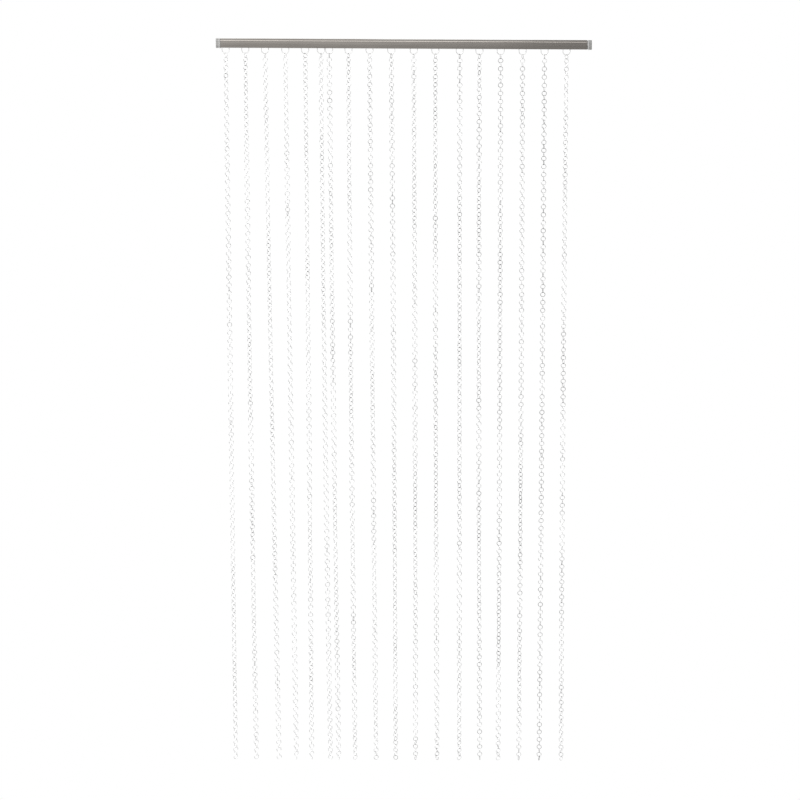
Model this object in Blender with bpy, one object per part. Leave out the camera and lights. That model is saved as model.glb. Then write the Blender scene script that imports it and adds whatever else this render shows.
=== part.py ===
# A door curtain of metal chains on a slotted rail.
# Blender 4.5, metres, +Z up. The front faces -Y. The origin is the middle of the rail's top face.

import math
from collections import namedtuple

import bmesh
import bpy
from mathutils import Vector

MM = 0.001
GAP = 0.3 * MM
WELD_DISTANCE = 0.01 * MM

# The rail, an extrusion with a slot along its underside
CURTAIN_WIDTH = 1000 * MM
RAIL_DEPTH = 24 * MM
RAIL_HEIGHT = 25 * MM
RAIL_WALL = 1.4 * MM
SLOT_WIDTH = 6 * MM
BAND_HEIGHT = 5 * MM
BAND_INSET = 0.9 * MM
RIDGE_HEIGHT = 2.6 * MM
RIDGE_STEPS = 5
FACE_INSET = 0.5 * MM
FACE_STEPS = 8
EDGE_CHAMFER = 0.5 * MM
CORNER_RADIUS = 1.5 * MM
CORNER_STEPS = 3

# The end caps, a flange with a plug that fills the rail's end
CAP_LENGTH = 12 * MM
CAP_GROW = 0.5 * MM
CAP_BELOW_TOP = 0.2 * MM
CAP_CHAMFER = 0.7 * MM
CAP_CHAMFER_INSET = 0.35 * MM
PLUG_LENGTH = 9 * MM
PLUG_OVERLAP = 3 * MM
PLUG_OVER_FEET = 4 * MM

# The hangers, wire bent to half a ring, with feet that lie on the rail's lips
HANGER_WIRE = 1.6 * MM
HANGER_RADIUS = 9.5 * MM
HANGER_BOTTOM = 40.5 * MM
HANGER_STEPS = 10
FOOT_LENGTH = 7 * MM
FOOT_BEND = 1.6 * MM
FOOT_STEPS = 3

# The links, which these solids hold as one strand for each chain
LINK_OUTER = 13.6 * MM
LINK_WIRE = 1.4 * MM
LINK_COUNT = 181
STRAND_SECTIONS = 26

# One row for each chain from left to right, in millimetres and degrees.
# hook is its hanger's place along the rail, drift is how far to the right its bottom end hangs,
# bow is how far its middle lies to the right of a straight line, yaw turns its top link,
# twist is the turn from its top link to its last one, and curl is how much further its middle
# is turned than an even twist would turn it.
Chain = namedtuple("Chain", "hook drift bow yaw twist curl")
CHAINS = (
    Chain(-476.0, -6.5, 0.0, 45, 100, 0),
    Chain(-423.5, -1.0, -1.5, 52, -260, 0),
    Chain(-371.0, 10.0, -1.0, 13, 70, 0),
    Chain(-317.0, 4.5, -0.5, 13, 140, 80),
    Chain(-264.0, -5.5, 1.0, 39, -240, 80),
    Chain(-222.0, 5.5, -2.5, 19, 90, 0),
    Chain(-200.0, 6.5, -1.5, 4, -210, 0),
    Chain(-148.5, 1.0, -2.0, 20, 390, -80),
    Chain(-92.5, 3.5, -0.5, 60, 280, -60),
    Chain(-34.5, 0.5, 1.0, 21, -90, 0),
    Chain(25.5, -4.0, 1.0, 12, 180, 0),
    Chain(83.0, -1.0, -1.5, 57, -180, 0),
    Chain(148.0, -4.0, 0.0, 13, 50, -80),
    Chain(200.5, 1.0, -2.0, 28, 330, 60),
    Chain(257.0, -4.0, 1.0, 74, -100, 80),
    Chain(315.5, -4.5, 1.0, 84, 200, -80),
    Chain(374.0, -6.0, 0.5, 80, 10, 0),
    Chain(432.5, -3.0, -2.0, 55, 60, 0),
)

# The finish of each kind of piece
Finish = namedtuple("Finish", "colour metallic roughness")
SATIN_ALUMINIUM = Finish((0.27, 0.245, 0.22), 1.0, 0.34)
GREY_PLASTIC = Finish((0.55, 0.54, 0.52), 0.0, 0.45)
DRAWN_WIRE = Finish((0.72, 0.72, 0.71), 1.0, 0.25)
BRIGHT_ALUMINIUM = Finish((0.78, 0.78, 0.77), 1.0, 0.22)

# What follows from these sizes
RAIL_LENGTH = CURTAIN_WIDTH - 2 * (CAP_LENGTH + GAP)
LIP_TOP = -RAIL_HEIGHT + RAIL_WALL
LINK_PITCH = LINK_OUTER - 2 * LINK_WIRE
FIRST_LINK = -HANGER_BOTTOM + HANGER_WIRE + LINK_WIRE - LINK_OUTER / 2
CHAIN_TOP = -HANGER_BOTTOM - GAP
CHAIN_BOTTOM = FIRST_LINK - (LINK_COUNT - 1) * LINK_PITCH - LINK_OUTER / 2


def clear_scene():
    for obj in list(bpy.data.objects):
        bpy.data.objects.remove(obj)


def make_collection(name):
    collection = bpy.data.collections.new(name)
    bpy.context.scene.collection.children.link(collection)
    return collection


def make_material(name, finish):
    material = bpy.data.materials.new(name)
    material.use_nodes = True
    shader = material.node_tree.nodes["Principled BSDF"]
    shader.inputs["Base Color"].default_value = (*finish.colour, 1.0)
    shader.inputs["Metallic"].default_value = finish.metallic
    shader.inputs["Roughness"].default_value = finish.roughness
    material.diffuse_color = (*finish.colour, 1.0)
    return material


def place(data, name, collection, finish):
    obj = bpy.data.objects.new(name, data)
    data.materials.append(make_material(name, finish))
    collection.objects.link(obj)
    return obj


def arc(centre, radii, start, end, steps):
    """Points on an ellipse's arc, with both ends. Angles are in degrees."""
    points = []
    for step in range(steps + 1):
        angle = math.radians(start + (end - start) * step / steps)
        across = centre[0] + radii[0] * math.cos(angle)
        up = centre[1] + radii[1] * math.sin(angle)
        points.append((across, up))
    return points


def outer_outline(grow, top):
    """Points (y, z) from the top of the back, down the front, to the bottom of the back."""
    back = RAIL_DEPTH / 2
    front = -RAIL_DEPTH / 2 - grow
    band = front + BAND_INSET
    bottom = -RAIL_HEIGHT - grow
    face_top = -BAND_HEIGHT - RIDGE_HEIGHT
    face_bottom = bottom + CORNER_RADIUS
    face_edge = front + FACE_INSET
    points = [(back, top), (band + EDGE_CHAMFER, top), (band, top - EDGE_CHAMFER)]
    ridge = (band, -BAND_HEIGHT - RIDGE_HEIGHT / 2)
    points += arc(ridge, (BAND_INSET, RIDGE_HEIGHT / 2), 90, 270, RIDGE_STEPS)
    for step in range(FACE_STEPS + 1):
        along = step / FACE_STEPS
        bulge = FACE_INSET * math.sin(math.pi * along)
        points.append((face_edge - bulge, face_top + (face_bottom - face_top) * along))
    corner = (face_edge + CORNER_RADIUS, face_bottom)
    points += arc(corner, (CORNER_RADIUS, CORNER_RADIUS), 180, 270, CORNER_STEPS)[1:]
    points.append((back, bottom))
    return points


def channel_outline():
    """Points (y, z) of the slot and the channel over it, from the slot's front edge."""
    slot = SLOT_WIDTH / 2
    inner_front = -RAIL_DEPTH / 2 + BAND_INSET + RAIL_WALL
    inner_back = RAIL_DEPTH / 2 - RAIL_WALL
    return [
        (-slot, -RAIL_HEIGHT),
        (-slot, LIP_TOP),
        (inner_front, LIP_TOP),
        (inner_front, -RAIL_WALL),
        (inner_back, -RAIL_WALL),
        (inner_back, LIP_TOP),
        (slot, LIP_TOP),
        (slot, -RAIL_HEIGHT),
    ]


def rail_outline():
    outer = outer_outline(0.0, 0.0)
    return outer[:-1] + channel_outline() + outer[-1:]


def extruded_curve(name, outline, length):
    """A flat outline in Y and Z, extruded along X."""
    curve = bpy.data.curves.new(name, "CURVE")
    curve.dimensions = "2D"
    curve.fill_mode = "BOTH"
    curve.extrude = length / 2
    spline = curve.splines.new("POLY")
    spline.points.add(len(outline) - 1)
    for point, (across, up) in zip(spline.points, outline):
        point.co = (across, up, 0.0, 1.0)
    spline.use_cyclic_u = True
    return curve


def turn_along_x(obj):
    obj.rotation_euler = (math.pi / 2, 0.0, math.pi / 2)


def make_rail(collection):
    curve = extruded_curve("rail", rail_outline(), RAIL_LENGTH)
    rail = place(curve, "rail", collection, SATIN_ALUMINIUM)
    turn_along_x(rail)


def mesh_of_curve(curve, name, collection):
    """The curve's solid as a mesh with its caps welded on."""
    helper = bpy.data.objects.new(name, curve)
    collection.objects.link(helper)
    bpy.context.view_layer.update()
    graph = bpy.context.evaluated_depsgraph_get()
    mesh = bpy.data.meshes.new_from_object(helper.evaluated_get(graph))
    bpy.data.objects.remove(helper)
    shape = bmesh.new()
    shape.from_mesh(mesh)
    bmesh.ops.remove_doubles(shape, verts=shape.verts, dist=WELD_DISTANCE)
    bmesh.ops.recalc_face_normals(shape, faces=shape.faces)
    shape.to_mesh(mesh)
    shape.free()
    return mesh


def make_plug(name, side, collection):
    """The box that fills the rail's channel at one end, above where the hangers' feet slide."""
    inner_front = -RAIL_DEPTH / 2 + BAND_INSET + RAIL_WALL + GAP
    inner_back = RAIL_DEPTH / 2 - RAIL_WALL - GAP
    low = LIP_TOP + PLUG_OVER_FEET
    high = -RAIL_WALL - GAP
    inner_end = RAIL_LENGTH / 2 - PLUG_LENGTH
    outer_end = RAIL_LENGTH / 2 + GAP + PLUG_OVERLAP
    mesh = bpy.data.meshes.new(name)
    shape = bmesh.new()
    bmesh.ops.create_cube(shape, size=1.0)
    size = Vector((outer_end - inner_end, inner_back - inner_front, high - low))
    bmesh.ops.scale(shape, vec=size, verts=shape.verts)
    shape.to_mesh(mesh)
    shape.free()
    plug = bpy.data.objects.new(name, mesh)
    middle = (inner_end + outer_end) / 2
    plug.location = (side * middle, (inner_front + inner_back) / 2, (low + high) / 2)
    plug.hide_render = True
    plug.display_type = "WIRE"
    collection.objects.link(plug)
    return plug


def chamfer_end(mesh, side):
    """Draws in the flange's outer end, which faces +Z or -Z of the mesh."""
    shape = bmesh.new()
    shape.from_mesh(mesh)
    outer = [face for face in shape.faces if round(face.normal.z) == side]
    bmesh.ops.inset_region(
        shape,
        faces=outer,
        thickness=CAP_CHAMFER_INSET,
        depth=CAP_CHAMFER,
        use_even_offset=True,
    )
    shape.to_mesh(mesh)
    shape.free()


def make_cap(name, side, collection, cutters):
    outline = outer_outline(CAP_GROW, -CAP_BELOW_TOP)
    flange = CAP_LENGTH - CAP_CHAMFER
    curve = extruded_curve(name, outline, flange)
    mesh = mesh_of_curve(curve, name + "_outline", cutters)
    chamfer_end(mesh, side)
    cap = place(mesh, name, collection, GREY_PLASTIC)
    turn_along_x(cap)
    cap.location.x = side * (RAIL_LENGTH / 2 + GAP + flange / 2)
    join = cap.modifiers.new("plug", "BOOLEAN")
    join.operation = "UNION"
    join.object = make_plug(name + "_plug", side, cutters)


def wire_curve(name, points, radius, resolution):
    curve = bpy.data.curves.new(name, "CURVE")
    curve.dimensions = "3D"
    curve.bevel_depth = radius
    curve.bevel_resolution = resolution
    curve.use_fill_caps = True
    curve.twist_mode = "MINIMUM"
    spline = curve.splines.new("POLY")
    spline.points.add(len(points) - 1)
    for point, place_at in zip(spline.points, points):
        point.co = (*place_at, 1.0)
    return curve


def hanger_arm(side):
    """Points from the foot's end, on the lip, down the arm to where the half ring starts."""
    foot_z = LIP_TOP + GAP + HANGER_WIRE / 2
    ring_z = -HANGER_BOTTOM + HANGER_WIRE / 2 + HANGER_RADIUS
    x = side * HANGER_RADIUS
    points = [(x, side * FOOT_LENGTH, foot_z)]
    bend = arc((FOOT_BEND, foot_z - FOOT_BEND), (FOOT_BEND, FOOT_BEND), 90, 180, FOOT_STEPS)
    points += [(x, side * y, z) for y, z in bend]
    points.append((x, 0.0, ring_z))
    return points


def make_hanger(number, chain, collection):
    name = f"hanger_{number:02d}"
    ring_z = -HANGER_BOTTOM + HANGER_WIRE / 2 + HANGER_RADIUS
    radii = (HANGER_RADIUS, HANGER_RADIUS)
    ring = arc((0.0, ring_z), radii, 180, 360, HANGER_STEPS)[1:-1]
    points = hanger_arm(-1)
    points += [(x, 0.0, z) for x, z in ring]
    points += reversed(hanger_arm(1))
    curve = wire_curve(name, points, HANGER_WIRE / 2, 1)
    hanger = place(curve, name, collection, DRAWN_WIRE)
    hanger.location.x = chain.hook * MM


def strand_point(chain, along):
    """The chain's middle line under its hanger: along runs from 0 at the top to 1."""
    x = chain.drift * along + 4 * chain.bow * along * (1 - along)
    return (x * MM, 0.0, CHAIN_TOP + (CHAIN_BOTTOM - CHAIN_TOP) * along)


def strand_turn(chain, along):
    """How far the chain is turned about its own line, in degrees."""
    return chain.yaw + chain.twist * along + 4 * chain.curl * along * (1 - along)


def make_chain(number, chain, collection):
    """Four sides whose corners follow the planes of the links."""
    name = f"chain_{number:02d}"
    places = [step / STRAND_SECTIONS for step in range(STRAND_SECTIONS + 1)]
    points = [strand_point(chain, along) for along in places]
    curve = wire_curve(name, points, LINK_OUTER / 2, 0)
    for along, point in zip(places, curve.splines[0].points):
        point.tilt = math.radians(strand_turn(chain, along))
    strand = place(curve, name, collection, BRIGHT_ALUMINIUM)
    strand.location.x = chain.hook * MM


def main():
    clear_scene()
    curtain = make_collection("chain_curtain")
    cutters = make_collection("joined_pieces")
    make_rail(curtain)
    make_cap("end_cap_left", -1, curtain, cutters)
    make_cap("end_cap_right", 1, curtain, cutters)
    for number, chain in enumerate(CHAINS, start=1):
        make_hanger(number, chain, curtain)
        make_chain(number, chain, curtain)


main()
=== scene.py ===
import math
import random

import bmesh
import bpy
import numpy as np
from mathutils import Matrix, Vector


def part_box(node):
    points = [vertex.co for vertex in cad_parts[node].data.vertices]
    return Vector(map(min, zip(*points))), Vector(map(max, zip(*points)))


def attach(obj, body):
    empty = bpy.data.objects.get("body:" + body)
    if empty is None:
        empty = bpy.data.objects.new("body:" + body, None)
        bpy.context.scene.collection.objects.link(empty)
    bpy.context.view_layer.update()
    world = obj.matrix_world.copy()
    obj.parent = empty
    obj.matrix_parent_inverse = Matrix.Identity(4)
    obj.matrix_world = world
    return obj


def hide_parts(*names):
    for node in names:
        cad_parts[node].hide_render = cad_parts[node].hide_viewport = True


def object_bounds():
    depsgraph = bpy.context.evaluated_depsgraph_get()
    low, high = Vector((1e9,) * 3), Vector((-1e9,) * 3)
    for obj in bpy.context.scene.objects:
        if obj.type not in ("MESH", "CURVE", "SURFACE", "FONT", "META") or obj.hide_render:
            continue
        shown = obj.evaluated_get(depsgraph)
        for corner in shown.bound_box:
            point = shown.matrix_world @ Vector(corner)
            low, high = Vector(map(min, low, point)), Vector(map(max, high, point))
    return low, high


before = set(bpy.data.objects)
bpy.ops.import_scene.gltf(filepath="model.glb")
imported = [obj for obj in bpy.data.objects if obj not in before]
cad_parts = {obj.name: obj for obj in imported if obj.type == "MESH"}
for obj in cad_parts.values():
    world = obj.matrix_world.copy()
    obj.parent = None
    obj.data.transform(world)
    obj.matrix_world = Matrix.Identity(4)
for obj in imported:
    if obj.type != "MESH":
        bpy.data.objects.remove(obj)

# A door curtain of round-link chains on a slotted rail, in metres, with its front towards -Y.
# Each solid of the frame gets a finer piece in the same place.

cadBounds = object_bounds()
mm = 0.001


# Shader maths is written as plain expressions of sockets
class Value:
    # A socket that can be used in sums

    def __init__(self, graph, socket):
        self.graph = graph
        self.socket = socket

    def maths(self, operation, first, second):
        return self.graph.add("ShaderNodeMath", {"operation": operation}, {0: first, 1: second})

    def __add__(self, other):
        return self.maths("ADD", self, other)

    def __radd__(self, other):
        return self.maths("ADD", other, self)

    def __sub__(self, other):
        return self.maths("SUBTRACT", self, other)

    def __rsub__(self, other):
        return self.maths("SUBTRACT", other, self)

    def __mul__(self, other):
        return self.maths("MULTIPLY", self, other)

    def __rmul__(self, other):
        return self.maths("MULTIPLY", other, self)

    def rise(self, start, end):
        # 0 at start and 1 at end, with a soft ramp between
        ramp = {"interpolation_type": "SMOOTHSTEP"}
        return self.graph.add("ShaderNodeMapRange", ramp, {0: self, 1: start, 2: end})


class Graph:
    # A node tree: add makes a node and gives back one of its outputs

    def __init__(self, tree):
        self.tree = tree

    def add(self, kind, settings=None, inputs=None, output=0):
        node = self.tree.nodes.new(kind)
        for name, setting in (settings or {}).items():
            setattr(node, name, setting)
        for name, value in (inputs or {}).items():
            self.feed(node.inputs[name], value)
        return Value(self, node.outputs[output])

    def feed(self, socket, value):
        if isinstance(value, Value):
            self.tree.links.new(value.socket, socket)
        else:
            socket.default_value = value

    def mixed(self, factor, first, second):
        settings = {"data_type": "RGBA"}
        return self.add("ShaderNodeMix", settings, {0: factor, 6: first, 7: second}, 2)

    def noise(self, where, scale, detail=3.0, roughness=0.55):
        scaled = self.add("ShaderNodeMapping", {}, {"Vector": where, "Scale": scale})
        inputs = {"Vector": scaled, "Scale": 1.0, "Detail": detail, "Roughness": roughness}
        return self.add("ShaderNodeTexNoise", {}, inputs)

    def bump(self, finish, height):
        strength, depth = finish["bumpStrength"], finish["bumpDepth"]
        inputs = {"Strength": strength, "Distance": depth, "Height": height}
        return self.add("ShaderNodeBump", {}, inputs)


def newMaterial(name, sockets):
    # A Principled material with its fixed sockets set, and the graph to add to
    material = bpy.data.materials.new(name)
    material.use_nodes = True
    shader = material.node_tree.nodes["Principled BSDF"]
    for socket, value in sockets.items():
        shader.inputs[socket].default_value = value
    return material, Graph(material.node_tree), shader


# Finishes. A scale is in repeats to the metre (drawScale to the whole map), a range is where a
# pattern starts and where it is full, and a bump's depth is in metres.
railFinish = {
    "light": (0.408, 0.380, 0.350, 1.0),
    "dark": (0.314, 0.293, 0.269, 1.0),
    "rubbed": (0.55, 0.535, 0.515, 1.0),
    "lineScale": (1.5, 900.0, 900.0),
    "streakScale": (4.0, 420.0, 420.0),
    "patchScale": (5.0, 30.0, 30.0),
    "lineShare": 0.25,
    "streakShare": 0.5,
    "patchShare": 0.25,
    "toneRange": (0.3, 0.7),
    "rubRange": (0.35, 0.7),
    "rub": 0.7,
    "roughness": 0.32,
    "roughnessSpread": 0.04,
    "rubbedSmoother": 0.1,
    "bumpStrength": 0.15,
    "bumpDepth": 0.000006,
}


def makeRailMaterial():
    # Satin aluminium with fine lines along it, rubbed brighter on its small rounds
    material, graph, shader = newMaterial("satinRail", {"Metallic": 1.0})
    where = graph.add("ShaderNodeTexCoord", output="Object")
    lines = graph.noise(where, railFinish["lineScale"], 4.0, 0.65)
    streaks = graph.noise(where, railFinish["streakScale"], 2.0)
    patches = graph.noise(where, railFinish["patchScale"], 2.0)
    tone = lines * railFinish["lineShare"] + streaks * railFinish["streakShare"]
    tone = (tone + patches * railFinish["patchShare"]).rise(*railFinish["toneRange"])
    drawn = graph.mixed(tone, railFinish["dark"], railFinish["light"])
    edge = graph.add("ShaderNodeAttribute", {"attribute_name": "edge"}, output="Fac")
    worn = edge * patches.rise(*railFinish["rubRange"]) * railFinish["rub"]
    graph.feed(shader.inputs["Base Color"], graph.mixed(worn, drawn, railFinish["rubbed"]))
    roughness = railFinish["roughness"] + (lines + patches - 1) * railFinish["roughnessSpread"]
    graph.feed(shader.inputs["Roughness"], roughness - worn * railFinish["rubbedSmoother"])
    graph.feed(shader.inputs["Normal"], graph.bump(railFinish, lines))
    return material


capFinish = {
    "light": (0.37, 0.368, 0.358, 1.0),
    "dark": (0.30, 0.298, 0.290, 1.0),
    # Paler grey for the collar: a painted highlight, standing in for light caught on its rounded
    # edge
    "collarPaintedHighlight": (0.56, 0.555, 0.545, 1.0),
    "grainScale": (2600.0, 2600.0, 2600.0),
    "patchScale": (90.0, 90.0, 90.0),
    "grainShare": 0.2,
    "toneRange": (0.3, 0.7),
    "roughness": 0.30,
    "roughnessSpread": 0.12,
    "bumpStrength": 0.5,
    "bumpDepth": 0.00004,
}


def makeCapMaterial():
    # Grey plastic with a fine grain, and a painted highlight on the collar
    material, graph, shader = newMaterial("mouldedCap", {"Metallic": 0.0, "IOR": 1.47})
    where = graph.add("ShaderNodeTexCoord", output="Object")
    grain = graph.noise(where, capFinish["grainScale"], 2.0)
    patches = graph.noise(where, capFinish["patchScale"], 3.0)
    share = capFinish["grainShare"]
    tone = patches.rise(*capFinish["toneRange"]) * (1 - share) + grain * share
    moulded = graph.mixed(tone, capFinish["dark"], capFinish["light"])
    collarPaintedHighlight = graph.add("ShaderNodeAttribute", {"attribute_name": "collarPaintedHighlight"}, output="Fac")
    # The collar's sections take the paler colour as a painted highlight
    graph.feed(shader.inputs["Base Color"], graph.mixed(collarPaintedHighlight, moulded, capFinish["collarPaintedHighlight"]))
    roughness = capFinish["roughness"] + (patches - 0.5) * capFinish["roughnessSpread"]
    graph.feed(shader.inputs["Roughness"], roughness)
    graph.feed(shader.inputs["Normal"], graph.bump(capFinish, grain))
    return material


linkFinish = {
    "bright": (0.95, 0.95, 0.948, 1.0),
    # The dull end of the link tone, which also shows the chains' painted shade
    "dull": (0.20, 0.20, 0.20, 1.0),
    # Near black for the rub marks, part wear and part painted contact shade
    "rubbed": (0.025, 0.025, 0.025, 1.0),
    "drawScale": (40.0, 900.0, 1.0),
    "spotScale": (420.0, 420.0, 420.0),
    "drawShare": 0.08,
    "spotShare": 0.12,
    "spotRange": (0.35, 0.65),
    "rubRange": (0.15, 0.42),
    "roughness": 0.20,
    "dullRougher": 0.12,
    "rubbedRougher": 0.15,
    "bumpStrength": 0.4,
    "bumpDepth": 0.00002,
}


def makeLinkMaterial():
    # Bright aluminium wire, drawn lengthwise, each link a little different. The link tone carries
    # painted shade that darkens the chains towards the right and painted light that pales them
    # towards the bottom. Where links rub the wire is blackened, part wear and part painted contact
    # shade.
    material, graph, shader = newMaterial("brightLinkWire", {"Metallic": 1.0})
    unrolled = graph.add("ShaderNodeUVMap", {"uv_map": "OFBake"})
    where = graph.add("ShaderNodeTexCoord", output="Object")
    drawn = graph.noise(unrolled, linkFinish["drawScale"], 2.0)
    spots = graph.noise(where, linkFinish["spotScale"], 3.0, 0.6)
    # linkTone carries each link's tone together with its chain's painted shade and painted light
    linkTone = graph.add("ShaderNodeAttribute", {"attribute_name": "linkTone"}, output="Fac")
    rub = graph.add("ShaderNodeAttribute", {"attribute_name": "rub"}, output="Fac")
    tone = linkTone + spots.rise(*linkFinish["spotRange"]) * linkFinish["spotShare"]
    tone = tone + drawn * linkFinish["drawShare"]
    clean = graph.mixed(tone, linkFinish["bright"], linkFinish["dull"])
    # The rub marks: part wear and part painted contact shade where links touch
    worn = rub * spots.rise(*linkFinish["rubRange"])
    graph.feed(shader.inputs["Base Color"], graph.mixed(worn, clean, linkFinish["rubbed"]))
    roughness = linkFinish["roughness"] + tone * linkFinish["dullRougher"]
    graph.feed(shader.inputs["Roughness"], roughness + worn * linkFinish["rubbedRougher"])
    graph.feed(shader.inputs["Normal"], graph.bump(linkFinish, drawn + spots))
    return material


hangerFinish = {
    "bright": (0.97, 0.97, 0.96, 1.0),
    "dull": (0.86, 0.86, 0.855, 1.0),
    "spotScale": (500.0, 500.0, 500.0),
    "spotRange": (0.3, 0.7),
    "roughness": 0.34,
    "dullRougher": 0.14,
    "bumpStrength": 0.4,
    "bumpDepth": 0.00002,
}


def makeHangerMaterial():
    # Pale plated steel wire with dull spots
    material, graph, shader = newMaterial("hangerWire", {"Metallic": 1.0})
    where = graph.add("ShaderNodeTexCoord", output="Object")
    spots = graph.noise(where, hangerFinish["spotScale"], 4.0, 0.6)
    tone = spots.rise(*hangerFinish["spotRange"])
    plated = graph.mixed(tone, hangerFinish["bright"], hangerFinish["dull"])
    graph.feed(shader.inputs["Base Color"], plated)
    roughness = hangerFinish["roughness"] + tone * hangerFinish["dullRougher"]
    graph.feed(shader.inputs["Roughness"], roughness)
    graph.feed(shader.inputs["Normal"], graph.bump(hangerFinish, spots))
    return material


# Helpers for the meshes
def addNumbers(mesh, name, numbers):
    layer = mesh.attributes.new(name, "FLOAT", "POINT")
    layer.data.foreach_set("value", numbers.astype(np.float32))


def finishPiece(name, mesh, material, node):
    mesh.materials.append(material)
    piece = bpy.data.objects.new(name, mesh)
    bpy.context.scene.collection.objects.link(piece)
    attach(piece, "root")
    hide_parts(node)
    return piece


def filleted(corners, steps):
    # Rounds each (y, z, radius) corner of a closed outline, and marks the points of small rounds
    outline = []
    edges = []
    for number, (y, z, radius) in enumerate(corners):
        here = Vector((y, z))
        if radius == 0:
            outline.append(here)
            edges.append(0.0)
            continue
        before = (Vector(corners[number - 1][:2]) - here).normalized()
        after = (Vector(corners[(number + 1) % len(corners)][:2]) - here).normalized()
        half = before.angle(after) / 2
        start = before * (radius / math.tan(half))
        end = after * (radius / math.tan(half))
        centre = (before + after).normalized() * (radius / math.sin(half))
        for step in range(steps + 1):
            ray = (start - centre).lerp(end - centre, step / steps)
            outline.append(here + centre + ray.normalized() * radius)
            edges.append(1.0)
    return outline, edges


def sweepSections(name, bodies, sharpAngle):
    # Each body is a row of closed outlines (x, points) of the same count, joined up with flat ends
    points = []
    faces = []
    for sections in bodies:
        count = len(sections[0][1])
        start = len(points)
        points += [(x, y, z) for x, outline in sections for y, z in outline]
        for row in range(len(sections) - 1):
            for i in range(count):
                j = (i + 1) % count
                low = start + row * count
                high = low + count
                faces.append((low + i, low + j, high + j, high + i))
        faces.append(tuple(range(start, start + count)))
        faces.append(tuple(range(len(points) - count, len(points))))
    mesh = bpy.data.meshes.new(name)
    mesh.from_pydata(points, [], faces)
    shape = bmesh.new()
    shape.from_mesh(mesh)
    bmesh.ops.recalc_face_normals(shape, faces=shape.faces)
    shape.to_mesh(mesh)
    shape.free()
    mesh.shade_smooth()
    mesh.set_sharp_from_angle(angle=math.radians(sharpAngle))
    return mesh


# The rail and its end caps
rail = {
    "wall": 1.4 * mm,
    "slot": 6.0 * mm,
    "bandHeight": 5.0 * mm,
    "bandInset": 0.9 * mm,
    "bandSlope": 0.05 * mm,
    "ridgeHeight": 2.6 * mm,
    "ridgeSteps": 14,
    "ridgeSkew": 1.5,
    "faceInset": 0.28 * mm,
    "faceSteps": 16,
    "faceEnd": 1.0 * mm,
    "corner": 0.98 * mm,
    "edge": 0.4 * mm,
    "filletSteps": 4,
    "sharpAngle": 38,
}


def frontCorners(front, top, bottom):
    # From the top of the front, over the band, the ridge and the domed face, to the bottom
    band = front + rail["bandInset"]
    corners = [(band + rail["bandSlope"], top, rail["edge"])]
    ridgeTop = -rail["bandHeight"]
    ridgeBottom = ridgeTop - rail["ridgeHeight"]
    for step in range(rail["ridgeSteps"] + 1):
        along = step / rail["ridgeSteps"]
        y = band - rail["bandInset"] * math.sin(math.pi * along ** rail["ridgeSkew"])
        z = ridgeTop - rail["ridgeHeight"] * (1 - math.cos(math.pi * along)) / 2
        corners.append((y, z, 0))
    edge = front + rail["faceInset"]
    faceBottom = bottom + rail["faceEnd"]
    for step in range(rail["faceSteps"] + 1):
        along = step / rail["faceSteps"]
        bulge = rail["faceInset"] * math.sin(math.pi * along)
        corners.append((edge - bulge, ridgeBottom + (faceBottom - ridgeBottom) * along, 0))
    corners.append((edge, bottom, rail["corner"]))
    return corners


def channelCorners(back, bottom, front):
    slot = rail["slot"] / 2
    lip = bottom + rail["wall"]
    inFront = front + rail["bandInset"] + rail["wall"]
    inBack = back - rail["wall"]
    edge = rail["edge"]
    return [
        (-slot, bottom, edge),
        (-slot, lip, edge),
        (inFront, lip, edge),
        (inFront, -rail["wall"], edge),
        (inBack, -rail["wall"], edge),
        (inBack, lip, edge),
        (slot, lip, edge),
        (slot, bottom, edge),
    ]


def makeRail(material):
    low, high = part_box("rail")
    corners = frontCorners(low.y, high.z, low.z)
    corners += channelCorners(high.y, low.z, low.y)
    corners += [(high.y, low.z, rail["edge"]), (high.y, high.z, rail["edge"])]
    outline, edges = filleted(corners, rail["filletSteps"])
    mesh = sweepSections("rail", [[(low.x, outline), (high.x, outline)]], rail["sharpAngle"])
    addNumbers(mesh, "edge", np.array(edges * 2))
    finishPiece("slottedRail", mesh, material, "rail")
    print("rail made,", len(outline), "points round")


cap = {
    "seam": 0.05 * mm,
    "neck": 1.65 * mm,
    "neckInset": 1.6 * mm,
    "collar": 2.6 * mm,
    "collarGrow": 0.45 * mm,
    "collarEdge": 0.5 * mm,
    "footStep": 3.6 * mm,
    "footInset": 0.5 * mm,
    "backEdge": 0.8 * mm,
    "endRound": 0.9 * mm,
    "endSteps": ((1.0, 0.0), (0.6, 0.1), (0.25, 0.35), (0.0, 1.0)),  # back from the end, drawn in
    "plugPlay": 0.3 * mm,
    "plugOverFeet": 4.0 * mm,
    "plugEdge": 0.6 * mm,
    "plugLead": 1.4 * mm,
    "plugDrawnIn": 0.7 * mm,
    "filletSteps": 5,
    "sharpAngle": 50,
}


def grown(outline, centre, amount, size):
    # Moves an outline in or out by about the same amount on each side
    y = 1 + amount / (size.y / 2)
    z = 1 + amount / (size.z / 2)
    return [(centre.y + (p[0] - centre.y) * y, centre.z + (p[1] - centre.z) * z) for p in outline]


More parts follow.
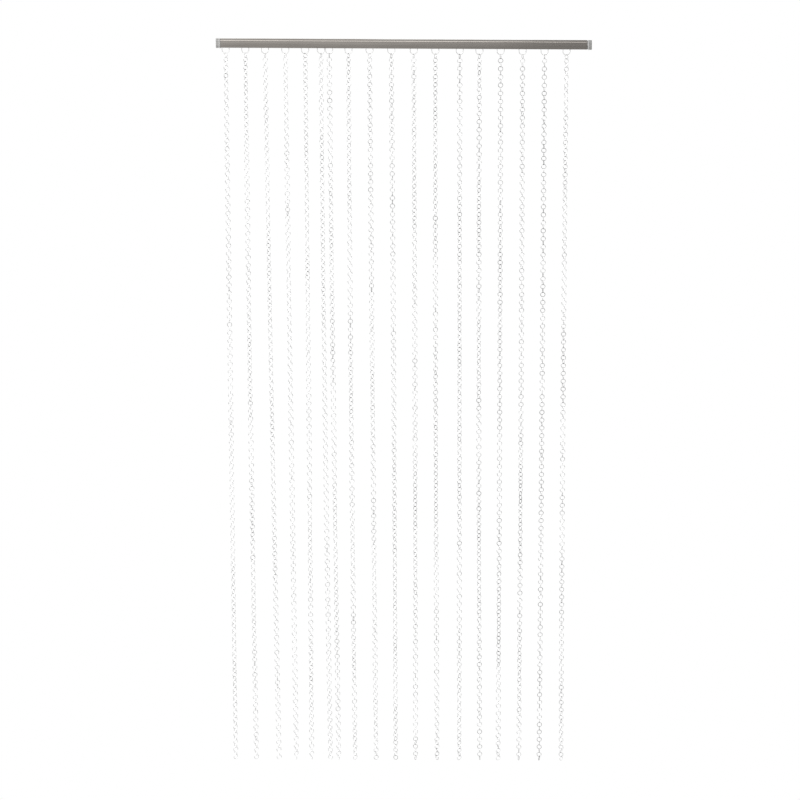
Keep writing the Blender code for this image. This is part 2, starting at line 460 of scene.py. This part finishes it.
def capSections(side, low, high, outline):
    # From the rail's end outwards: a drawn-in neck, a raised collar, the body and its rounded end
    centre = (low + high) / 2
    size = high - low
    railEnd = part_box("rail")[1].x + cap["seam"]
    outer = max(abs(low.x), abs(high.x))
    collarStart = railEnd + cap["neck"]
    collarEnd = collarStart + cap["collar"]
    edge = cap["collarEdge"]
    eased = edge * 0.3  # halfway round an edge
    rounded = cap["endRound"]
    profile = [
        (railEnd, -cap["neckInset"]),
        (collarStart, -cap["neckInset"]),
        (collarStart, cap["collarGrow"] - edge),
        (collarStart + eased, cap["collarGrow"] - eased),
        (collarStart + edge, cap["collarGrow"]),
        (collarEnd - edge, cap["collarGrow"]),
        (collarEnd - eased, cap["collarGrow"] - eased),
        (collarEnd, 0.0),
    ]
    profile += [(outer - rounded * back, -rounded * inwards) for back, inwards in cap["endSteps"]]
    return [(side * x, grown(outline, centre, amount, size)) for x, amount in profile]


def plugSections(side, low, high):
    # The box that sits in the rail's channel, over the hangers' feet, drawn in at its inner end
    railLow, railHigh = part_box("rail")
    front = railLow.y + rail["bandInset"] + rail["wall"] + cap["plugPlay"]
    back = railHigh.y - rail["wall"] - cap["plugPlay"]
    bottom = railLow.z + rail["wall"] + cap["plugOverFeet"]
    top = railHigh.z - rail["wall"] - cap["plugPlay"]
    edge = cap["plugEdge"]
    corners = [(front, top, edge), (front, bottom, edge), (back, bottom, edge), (back, top, edge)]
    outline = filleted(corners, cap["filletSteps"])[0]
    centre = Vector((0, (front + back) / 2, (bottom + top) / 2))
    size = Vector((0, back - front, top - bottom))
    inner = min(abs(low.x), abs(high.x))
    outer = railHigh.x + cap["seam"] + cap["neck"] / 2
    profile = [(inner, -cap["plugDrawnIn"]), (inner + cap["plugLead"], 0.0), (outer, 0.0)]
    return [(side * x, grown(outline, centre, amount, size)) for x, amount in profile]


def capOutline(low, high):
    # The rail's outline, with a foot that is set back along its lower edge
    corners = frontCorners(low.y, high.z, low.z)
    step = low.z + cap["footStep"]
    foot = [(y, z, r) for y, z, r in corners if z > step or r > 0]
    face = foot[-2][0]
    foot.insert(-1, (face, step, 0))
    foot.insert(-1, (face + cap["footInset"], step, 0))
    y, z, r = foot[-1]
    foot[-1] = (face + cap["footInset"], z, r)
    foot += [(high.y, low.z, cap["backEdge"]), (high.y, high.z, cap["backEdge"])]
    return filleted(foot, cap["filletSteps"])[0]


def makeCap(node, side, material):
    low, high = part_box(node)
    outline = capOutline(low, high)
    sections = capSections(side, low, high, outline)
    plug = plugSections(side, low, high)
    mesh = sweepSections(node, [sections, plug], cap["sharpAngle"])
    # Marks the collar, which is painted paler as a highlight
    collarPaintedHighlight = np.zeros(len(mesh.vertices))
    collarPaintedHighlight[2 * len(outline):7 * len(outline)] = 1.0  # the collar's sections
    addNumbers(mesh, "collarPaintedHighlight", collarPaintedHighlight)
    finishPiece("cap" + ("Left" if side < 0 else "Right"), mesh, material, node)
    print("end cap made:", node)


# The hangers
hanger = {
    "wire": 1.6 * mm,
    "footBend": 1.6 * mm,
    "footLength": 7.0 * mm,
    "footMiddle": 4.2 * mm,
    "ringSteps": 28,
    "bendSteps": 6,
    "sides": 12,
    "dome": ((0.95, 0.3), (0.75, 0.66), (0.4, 0.92)),  # out from the end, radius left
    "turn": 4.0,
}


def hangerPath(low, high):
    # From one foot down its arm, round the half ring and up to the other foot
    radius = (high.x - low.x - hanger["wire"]) / 2
    ringZ = low.z + hanger["wire"] / 2 + radius
    footZ = high.z - hanger["wire"] / 2
    bend = hanger["footBend"]
    arm = [(radius, hanger["footLength"], footZ), (radius, hanger["footMiddle"], footZ)]
    for step in range(hanger["bendSteps"] + 1):
        angle = math.pi / 2 * (1 + step / hanger["bendSteps"])
        arm.append((radius, bend + bend * math.cos(angle), footZ - bend + bend * math.sin(angle)))
    arm.append((radius, 0.0, (footZ - bend + ringZ) / 2))
    ring = []
    for step in range(hanger["ringSteps"] + 1):
        angle = math.pi * step / hanger["ringSteps"]
        ring.append((radius * math.cos(angle), 0.0, ringZ - radius * math.sin(angle)))
    return arm + ring + [(-x, -y, z) for x, y, z in reversed(arm)]


def tubeAlong(name, path, radius, sides):
    # A round wire with domed ends that follows a path
    path = [Vector(point) for point in path]
    ways = [(b - a).normalized() for a, b in zip(path, path[1:])]
    tangents = [ways[0]] + [(a + b).normalized() for a, b in zip(ways, ways[1:])] + [ways[-1]]
    across = tangents[0].orthogonal().normalized()
    rings = []
    for number, (point, tangent) in enumerate(zip(path, tangents)):
        across = (across - tangent * across.dot(tangent)).normalized()
        rings.append((point, tangent, across, radius))
    first, last = rings[0], rings[-1]
    start = [(first[0] - first[1] * radius * out, first[1], first[2], radius * size)
             for out, size in hanger["dome"]]
    end = [(last[0] + last[1] * radius * out, last[1], last[2], radius * size)
           for out, size in reversed(hanger["dome"])]
    shape = bmesh.new()
    rows = []
    for point, tangent, side, size in start + rings + end:
        up = tangent.cross(side)
        row = []
        for i in range(sides):
            angle = 2 * math.pi * i / sides
            outwards = side * math.cos(angle) + up * math.sin(angle)
            row.append(shape.verts.new(point + outwards * size))
        rows.append(row)
    for a, b in zip(rows, rows[1:]):
        for i in range(sides):
            j = (i + 1) % sides
            shape.faces.new((a[i], a[j], b[j], b[i]))
    shape.faces.new(rows[0])
    shape.faces.new(rows[-1])
    bmesh.ops.recalc_face_normals(shape, faces=shape.faces)
    mesh = bpy.data.meshes.new(name)
    shape.to_mesh(mesh)
    shape.free()
    mesh.shade_smooth()
    return mesh


def makeHangers(material, chances):
    for number in range(1, chainCount + 1):
        node = f"hanger_{number:02d}"
        low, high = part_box(node)
        mesh = tubeAlong(node, hangerPath(low, high), hanger["wire"] / 2, hanger["sides"])
        turn = math.radians(chances.uniform(-hanger["turn"], hanger["turn"]))
        place = Matrix.Translation(((low.x + high.x) / 2, 0, 0)) @ Matrix.Rotation(turn, 4, "Z")
        mesh.transform(place)
        finishPiece(f"wireHanger{number:02d}", mesh, material, node)
    print("hangers made:", chainCount)


# The chains. The joint, the turns and the lean are in degrees.
link = {
    "outer": 13.6 * mm,
    "wire": 1.4 * mm,
    "count": 181,
    "segments": 22,
    "sides": 6,
    "joint": 1.6,
    "jointSpread": 40,
    "turnSpread": 6.0,
    "leanSpread": 1.2,
    "oval": 0.018,
    "sharpAngle": 75,
    # Painted light: each chain is painted paler towards its bottom end
    "paintedPaling": 0.18,  # how much paler a chain gets from top to bottom
    "blotches": ((2.3, 0.7), (5.1, 0.7), (10.7, 0.5)),  # waves to a chain, and their size
    "stretchEdge": 0.02,
    "blotchTone": 0.2,
    "toneSpread": 0.42,
    "toneMost": 1.8,
    "toneShare": 0.42,  # of the way from bright to dull wire
    "rubRange": (0.76, 0.96),  # parts of the way from a link's centre to its ends
    "rubInward": 1.1,
    "rubStrength": 1.8,
    # The rub marks are part wear and part painted contact shade, darker on chains with more
    # painted shade
    "black": 0.5,  # how dark the marks are where links rub, and what adds to it
    "blackDullAndShade": 0.55,
    "blackBlotch": 0.3,
    "blackMost": 1.3,
    "mapColumns": 5,
    "mapRows": 37,
    "mapMargin": (0.02, 0.05),
}

# Left to right, in millimetres and degrees: how far the lower end drifts to the right, how far the
# middle bows, the turn of the top link, the turn from there to the last link, how much further the
# middle is turned, and how dull the chain is, which is partly its own tone and partly painted
# shade
# that darkens the chains towards the right. Stretches are where it is paler or more blackened:
# from, to and by how much, along the chain.
chains = [
    {"drift": -6.5, "bow": 0.0, "yaw": 45, "twist": 100, "curl": 0, "dull": 0.05,
     "stretches": ((0.57, 0.71, -1.6),)},
    {"drift": -1.0, "bow": -1.5, "yaw": 52, "twist": -260, "curl": 0, "dull": 0.12,
     "stretches": ((0.53, 0.56, -2.0), (0.59, 0.68, 2.2))},
    {"drift": 10.0, "bow": -1.0, "yaw": 13, "twist": 70, "curl": 0, "dull": 0.1,
     "stretches": ((0.14, 0.24, -2.2), (0.48, 0.53, 1.4))},
    {"drift": 4.5, "bow": -0.5, "yaw": 13, "twist": 140, "curl": 80, "dull": 0.0,
     "stretches": ((0.24, 0.46, -2.6),)},
    {"drift": -5.5, "bow": 1.0, "yaw": 39, "twist": -240, "curl": 80, "dull": 0.18,
     "stretches": ((0.31, 0.49, -2.6),)},
    {"drift": 5.5, "bow": -2.5, "yaw": 19, "twist": 90, "curl": 0, "dull": 0.1,
     "stretches": ((0.50, 0.64, -2.6),)},
    {"drift": 6.5, "bow": -1.5, "yaw": 4, "twist": -210, "curl": 0, "dull": 0.24,
     "stretches": ((0.46, 0.57, -2.2),)},
    {"drift": 1.0, "bow": -2.0, "yaw": 20, "twist": 390, "curl": -80, "dull": 0.22,
     "stretches": ((0.21, 0.31, -2.5), (0.36, 0.49, 1.4))},
    {"drift": 3.5, "bow": -0.5, "yaw": 60, "twist": 280, "curl": -60, "dull": 0.32,
     "stretches": ((0.70, 0.76, -2.0),)},
    {"drift": 0.5, "bow": 1.0, "yaw": 21, "twist": -90, "curl": 0, "dull": 0.42,
     "stretches": ((0.42, 0.48, -2.0),)},
    {"drift": -4.0, "bow": 1.0, "yaw": 12, "twist": 180, "curl": 0, "dull": 0.42,
     "stretches": ((0.24, 0.31, -1.8),)},
    {"drift": -1.0, "bow": -1.5, "yaw": 57, "twist": -180, "curl": 0, "dull": 0.5,
     "stretches": ((0.83, 0.97, -1.5),)},
    {"drift": -4.0, "bow": 0.0, "yaw": 13, "twist": 50, "curl": -80, "dull": 0.58,
     "stretches": ((0.70, 0.80, -2.2),)},
    {"drift": 1.0, "bow": -2.0, "yaw": 28, "twist": 330, "curl": 60, "dull": 0.68},
    {"drift": -4.0, "bow": 1.0, "yaw": 74, "twist": -100, "curl": 80, "dull": 0.74,
     "stretches": ((0.86, 0.97, -1.6),)},
    {"drift": -4.5, "bow": 1.0, "yaw": 84, "twist": 200, "curl": -80, "dull": 0.74,
     "stretches": ((0.16, 0.38, -1.8), (0.57, 0.63, 2.0))},
    {"drift": -6.0, "bow": 0.5, "yaw": 80, "twist": 10, "curl": 0, "dull": 0.95,
     "stretches": ((0.28, 0.31, -2.0), (0.67, 0.76, -1.5))},
    {"drift": -3.0, "bow": -2.0, "yaw": 55, "twist": 60, "curl": 0, "dull": 0.38,
     "stretches": ((0.03, 0.07, -3.0), (0.28, 0.35, -3.5), (0.37, 0.49, 4.5), (0.50, 0.54, -3.0),
                   (0.57, 0.60, -3.0), (0.61, 0.64, 3.0), (0.65, 0.68, -3.0), (0.70, 0.79, 2.0))},
]
chainCount = len(chains)


def linkPoints():
    # An open ring of wire in the XZ plane, as rows of points round the wire
    ringRadius = (link["outer"] - link["wire"]) / 2
    wireRadius = link["wire"] / 2
    joint = math.radians(link["joint"])
    around = np.linspace(joint / 2, 2 * math.pi - joint / 2, link["segments"] + 1)
    section = np.arange(link["sides"]) * 2 * math.pi / link["sides"]
    around, section = np.meshgrid(around, section, indexing="ij")
    radius = ringRadius + wireRadius * np.cos(section)
    points = [radius * np.cos(around), wireRadius * np.sin(section), radius * np.sin(around)]
    inward = np.clip(link["rubInward"] - np.cos(section), 0, 1)
    return np.stack(points, -1).reshape(-1, 3), inward.ravel()


def linkFaces():
    # Quads along the wire and the two cut ends at the joint, with the map's place for each corner
    segments, sides = link["segments"], link["sides"]
    quads = []
    places = []
    for i in range(segments):
        for j in range(sides):
            k = (j + 1) % sides
            quads.append((i * sides + j, (i + 1) * sides + j, (i + 1) * sides + k, i * sides + k))
            left, right = i / segments, (i + 1) / segments
            low, high = j / sides, (j + 1) / sides
            places.append(((left, low), (right, low), (right, high), (left, high)))
    lastRow = segments * sides
    ends = [tuple(range(sides)), tuple(lastRow + j for j in reversed(range(sides)))]
    endPlaces = [tuple((0.0, j / sides) for j in range(sides))]
    endPlaces.append(tuple((1.0, j / sides) for j in reversed(range(sides))))
    return quads + ends, places + endPlaces


def turnAbout(axis, degrees):
    return np.array(Matrix.Rotation(math.radians(degrees), 3, axis))


def chainLine(hook, row, top, bottom, z):
    # Where the chain's middle line is at a height
    along = (z - top) / (bottom - top)
    x = hook + (row["drift"] * along + 4 * row["bow"] * along * (1 - along)) * mm
    return x, along


def linkTurn(row, along):
    # The chain's turn about its own line, in degrees
    return row["yaw"] + row["twist"] * along + 4 * row["curl"] * along * (1 - along)


def uneven(row, starts, along):
    # Chains are duller in some stretches than in others, by chance or as the row says
    waves = (size * math.sin(2 * math.pi * (count * along + start))
             for (count, size), start in zip(link["blotches"], starts))
    level = sum(waves)
    for first, last, change in row.get("stretches", ()):
        inside = min(along - first, last - along) / link["stretchEdge"] + 0.5
        inside = min(1.0, max(0.0, inside))
        level = level * (1 - inside) + change * inside
    return level


def placedLinks(number, row, chances):
    # All the links of one chain: their points, how each is toned, with painted shade and light,
    # and where each is rubbed and given painted contact shade
    low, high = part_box(f"chain_{number:02d}")
    hangerLow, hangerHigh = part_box(f"hanger_{number:02d}")
    hook = (hangerLow.x + hangerHigh.x) / 2
    base, inward = linkPoints()
    pitch = link["outer"] - 2 * link["wire"]
    firstZ = hangerLow.z + hanger["wire"] + link["wire"] - link["outer"] / 2
    across = 90 if row["yaw"] < 45 else 0  # the top link crosses its hanger
    rubStart, rubEnd = link["rubRange"]
    starts = [chances.random() for _ in link["blotches"]]
    points, tones, rubMarksAndShade = [], [], []
    for k in range(link["count"]):
        z = firstZ - k * pitch
        x, along = chainLine(hook, row, high.z, low.z, z)
        above, _ = chainLine(hook, row, high.z, low.z, z + pitch)
        lean = math.degrees(math.atan2(above - x, pitch))
        jointTurn = chances.choice((0, 180))
        jointTurn += chances.uniform(-link["jointSpread"], link["jointSpread"])
        turn = across + 90 * k - linkTurn(row, along)
        turn += chances.gauss(0, link["turnSpread"])
        tip = chances.gauss(0, link["leanSpread"])
        squeeze = np.diag([1 + chances.uniform(-link["oval"], link["oval"]), 1, 1])
        ring = squeeze @ turnAbout("Y", jointTurn)
        ring = turnAbout("Y", lean) @ turnAbout("Z", turn) @ turnAbout("X", tip) @ ring
        placed = base @ ring.T
        blotch = uneven(row, starts, along)
        # The chain's dullness holds painted shade, darker for the chains on the right, lessened
        # towards the bottom as painted light
        dull = row["dull"] - link["paintedPaling"] * along
        # Rub marks, part wear and part painted contact shade, deepened with the chain's painted
        # shade
        black = link["black"] + link["blackDullAndShade"] * dull + link["blackBlotch"] * blotch
        black = min(link["blackMost"], max(0.0, black))
        height = np.abs(placed[:, 2]) / (link["outer"] / 2)
        nearContact = np.clip((height - rubStart) / (rubEnd - rubStart), 0, 1)
        rubMarksAndShade.append(np.clip(nearContact * inward * link["rubStrength"], 0, 1) * black)
        tone = dull + link["blotchTone"] * blotch + chances.gauss(0, link["toneSpread"])
        tone = min(link["toneMost"], max(0.0, tone)) * link["toneShare"]
        tones.append(np.full(len(base), tone))
        points.append(placed + (x, 0, z))
    return np.concatenate(points), np.concatenate(tones), np.concatenate(rubMarksAndShade)


def mapPlaces(places):
    # Each link has a cell of its own in the chain's map
    margin = np.array(link["mapMargin"])
    corners = np.array([corner for face in places for corner in face]) * (1 - 2 * margin) + margin
    columns, rows = link["mapColumns"], link["mapRows"]
    spread = []
    for k in range(link["count"]):
        column, line = k % columns, k // columns
        spread.append((corners + (column, line)) / (columns, rows))
    return np.concatenate(spread)


def makeChains(material, chances):
    faces, places = linkFaces()
    uvPlaces = mapPlaces(places).astype(np.float32)
    perLink = (link["segments"] + 1) * link["sides"]
    allFaces = [tuple(corner + k * perLink for corner in face)
                for k in range(link["count"]) for face in faces]
    for number, row in enumerate(chains, start=1):
        node = f"chain_{number:02d}"
        points, tones, rubMarksAndShade = placedLinks(number, row, chances)
        mesh = bpy.data.meshes.new(node)
        mesh.from_pydata(points.tolist(), [], allFaces)
        mesh.uv_layers.new(name="OFBake").data.foreach_set("uv", uvPlaces.ravel())
        addNumbers(mesh, "linkTone", tones)
        addNumbers(mesh, "rub", rubMarksAndShade)
        mesh.shade_smooth()
        mesh.set_sharp_from_angle(angle=math.radians(link["sharpAngle"]))
        finishPiece(f"linkChain{number:02d}", mesh, material, node)
    print("chains made:", chainCount, "with", link["count"], "links each")


# Camera, light and floor
camera = {
    "place": (0.385, -6.0, -0.004),
    "down": 9.158,
    "roll": 0.286,
    "lens": 100.1,
    "sensor": 36,
    "shift": -0.1836,
}


def makeCamera():
    data = bpy.data.cameras.new("camera")
    data.lens = camera["lens"]
    data.sensor_width = camera["sensor"]
    data.shift_x = camera["shift"]
    eye = bpy.data.objects.new("camera", data)
    eye.location = camera["place"]
    tilt = Matrix.Rotation(math.radians(90 - camera["down"]), 3, "X")
    eye.rotation_euler = (tilt @ Matrix.Rotation(math.radians(camera["roll"]), 3, "Z")).to_euler()
    bpy.context.scene.collection.objects.link(eye)
    bpy.context.scene.camera = eye


studio = {
    "floorGap": 0.03,
    "floorSize": 40.0,
    "floorSeen": 1.0,
    "floorGlow": 0.68,
    "backdrop": 1.0,
    "bright": 1.7,
    "dark": 0.04,
    "leftward": 0.5,
    "upward": 0.8,
    "frontward": -0.15,
    "keyRange": (-0.4, 0.5),
    "overhead": 0.9,
    "overheadRange": (0.35, 0.75),
}


def makeWorld():
    # White where the camera looks. For the rest, bright at the upper left down to dark at the
    # right, and brightest overhead.
    world = bpy.data.worlds.new("studio")
    bpy.context.scene.world = world
    world.use_nodes = True
    graph = Graph(world.node_tree)
    way = graph.add("ShaderNodeTexCoord", output="Generated")
    side = graph.add("ShaderNodeSeparateXYZ", {}, {0: way}, 0)
    depth = graph.add("ShaderNodeSeparateXYZ", {}, {0: way}, 1)
    up = graph.add("ShaderNodeSeparateXYZ", {}, {0: way}, 2)
    towardsKey = up * studio["upward"] - side * studio["leftward"] - depth * studio["frontward"]
    keyed = towardsKey.rise(*studio["keyRange"])
    level = studio["dark"] + keyed * (studio["bright"] - studio["dark"])
    level = level + up.rise(*studio["overheadRange"]) * studio["overhead"]
    seen = graph.add("ShaderNodeLightPath", output="Is Camera Ray")
    level = level * (1 - seen) + seen * studio["backdrop"]
    background = world.node_tree.nodes["Background"]
    background.inputs["Color"].default_value = (1, 1, 1, 1)
    graph.feed(background.inputs["Strength"], level)


def makeFloor():
    # Pale and even, and clear from below so that a low camera still sees the curtain
    material = bpy.data.materials.new("paleFloor")
    material.use_nodes = True
    graph = Graph(material.node_tree)
    seen = graph.add("ShaderNodeLightPath", output="Is Camera Ray")
    glow = studio["floorGlow"] + seen * (studio["floorSeen"] - studio["floorGlow"])
    pale = graph.add("ShaderNodeEmission", {}, {"Color": (1, 1, 1, 1), "Strength": glow})
    clear = graph.add("ShaderNodeBsdfTransparent")
    under = graph.add("ShaderNodeNewGeometry", output="Backfacing")
    surface = graph.add("ShaderNodeMixShader", {}, {0: under, 1: pale, 2: clear})
    graph.feed(material.node_tree.nodes["Material Output"].inputs["Surface"], surface)
    height = cadBounds[0].z - studio["floorGap"]
    bpy.ops.mesh.primitive_plane_add(size=studio["floorSize"], location=(0, 0, height))
    floor = bpy.context.object
    floor.name = "floor"
    floor.data.materials.append(material)


keyLight = {
    "place": (-2.6, -3.2, 1.6),
    "aim": (0.0, 0.0, -0.6),
    "size": 1.6,
    "power": 25.0,
}


def makeKeyLight():
    data = bpy.data.lights.new("softKey", "AREA")
    data.shape = "DISK"
    data.size = keyLight["size"]
    data.energy = keyLight["power"]
    lamp = bpy.data.objects.new("softKey", data)
    lamp.location = keyLight["place"]
    way = Vector(keyLight["aim"]) - Vector(keyLight["place"])
    lamp.rotation_euler = way.to_track_quat("-Z", "Y").to_euler()
    bpy.context.scene.collection.objects.link(lamp)


shadeCard = {
    "place": (1.25, -1.1, -0.8),
    "width": 2.1,
    "height": 3.4,
    "glow": 0.38,
}


def makeShadeCard():
    # A grey card in front on the right, which only the metal sees
    upright = (math.pi / 2, 0, 0)
    bpy.ops.mesh.primitive_plane_add(size=1, location=shadeCard["place"], rotation=upright)
    card = bpy.context.object
    card.name = "shadeCard"
    card.scale = (shadeCard["width"], shadeCard["height"], 1)
    card.visible_camera = False
    material = bpy.data.materials.new("greyCard")
    material.use_nodes = True
    graph = Graph(material.node_tree)
    light = {"Color": (1, 1, 1, 1), "Strength": shadeCard["glow"]}
    surface = graph.add("ShaderNodeEmission", {}, light)
    graph.feed(material.node_tree.nodes["Material Output"].inputs["Surface"], surface)
    card.data.materials.append(material)


makeCamera()
makeWorld()
makeFloor()
makeKeyLight()
makeShadeCard()
bpy.context.scene.view_settings.view_transform = "Standard"
print("camera, light and floor made")

makeRail(makeRailMaterial())
capMaterial = makeCapMaterial()
makeCap("end_cap_left", -1, capMaterial)
makeCap("end_cap_right", 1, capMaterial)
makeHangers(makeHangerMaterial(), random.Random(7))
makeChains(makeLinkMaterial(), random.Random(11))
